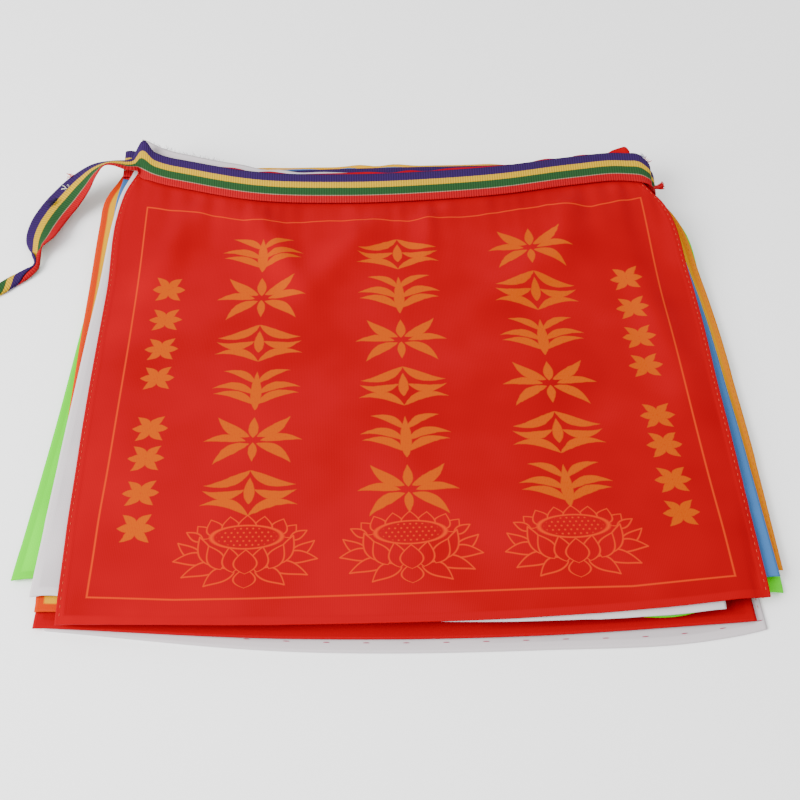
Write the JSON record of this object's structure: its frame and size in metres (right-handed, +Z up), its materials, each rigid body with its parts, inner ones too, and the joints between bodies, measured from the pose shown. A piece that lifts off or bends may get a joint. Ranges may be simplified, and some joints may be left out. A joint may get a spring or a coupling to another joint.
{
  "type": "folded string of prayer flags",
  "caption": "A string of satin prayer flags in red, white, blue, yellow and green, sewn along a striped woven tape, folded flag upon flag into a flat stack with one loose tie.",
  "frame": {"origin": "on the surface that the lowest flag rests on, under the middle of the top flag's printed frame", "axes": "+X along the tape to its turned end on the right, +Y from the flags' foot edges to the tape, +Z up from the surface"},
  "size_m": [0.3771, 0.3008, 0.0257],
  "materials": {
    "satin_red": "satin",
    "satin_white": "satin",
    "satin_blue": "satin",
    "satin_yellow": "satin",
    "satin_green": "satin",
    "woven_tape": "ribbed weave, matt"
  },
  "bodies": {
    "root": {"flag_01_red": "satin_red", "flag_02_white": "satin_white", "flag_03_blue": "satin_blue", "flag_04_yellow": "satin_yellow", "flag_05_green": "satin_green", "flag_06_red": "satin_red", "flag_07_white": "satin_white", "heading_tape": "woven_tape"}
  },
  "joints": []
}
